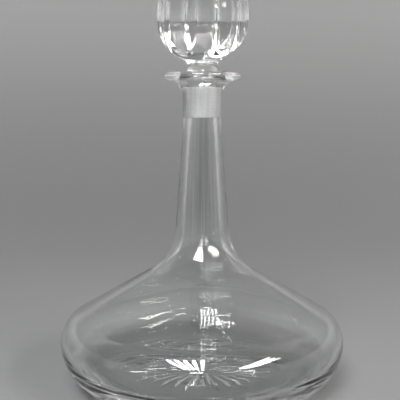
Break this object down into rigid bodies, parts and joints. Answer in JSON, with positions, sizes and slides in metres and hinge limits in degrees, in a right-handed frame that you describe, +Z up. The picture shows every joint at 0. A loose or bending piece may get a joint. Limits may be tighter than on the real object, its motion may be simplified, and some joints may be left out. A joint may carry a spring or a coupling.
{
  "type": "ships decanter",
  "caption": "Clear glass ships decanter with a wide low body, long tapering neck, turned-out lip and a lift-out fluted globe stopper.",
  "frame": {"origin": "centre of the foot ring, on the table", "axes": "+Z up along the axis of turning, -Y towards the viewer, +X to the viewer's right"},
  "size_m": [0.19, 0.19, 0.277],
  "materials": {
    "body_glass": "polished",
    "stopper_glass": "polished and cut"
  },
  "bodies": {
    "decanter": {"decanter": "body_glass"},
    "stopper": {"stopper": "stopper_glass"}
  },
  "joints": [
    {"name": "stopper_lift", "type": "slide", "parent": "decanter", "child": "stopper", "axis": [0, 0, 1], "range_m": [0, 0.045]}
  ]
}
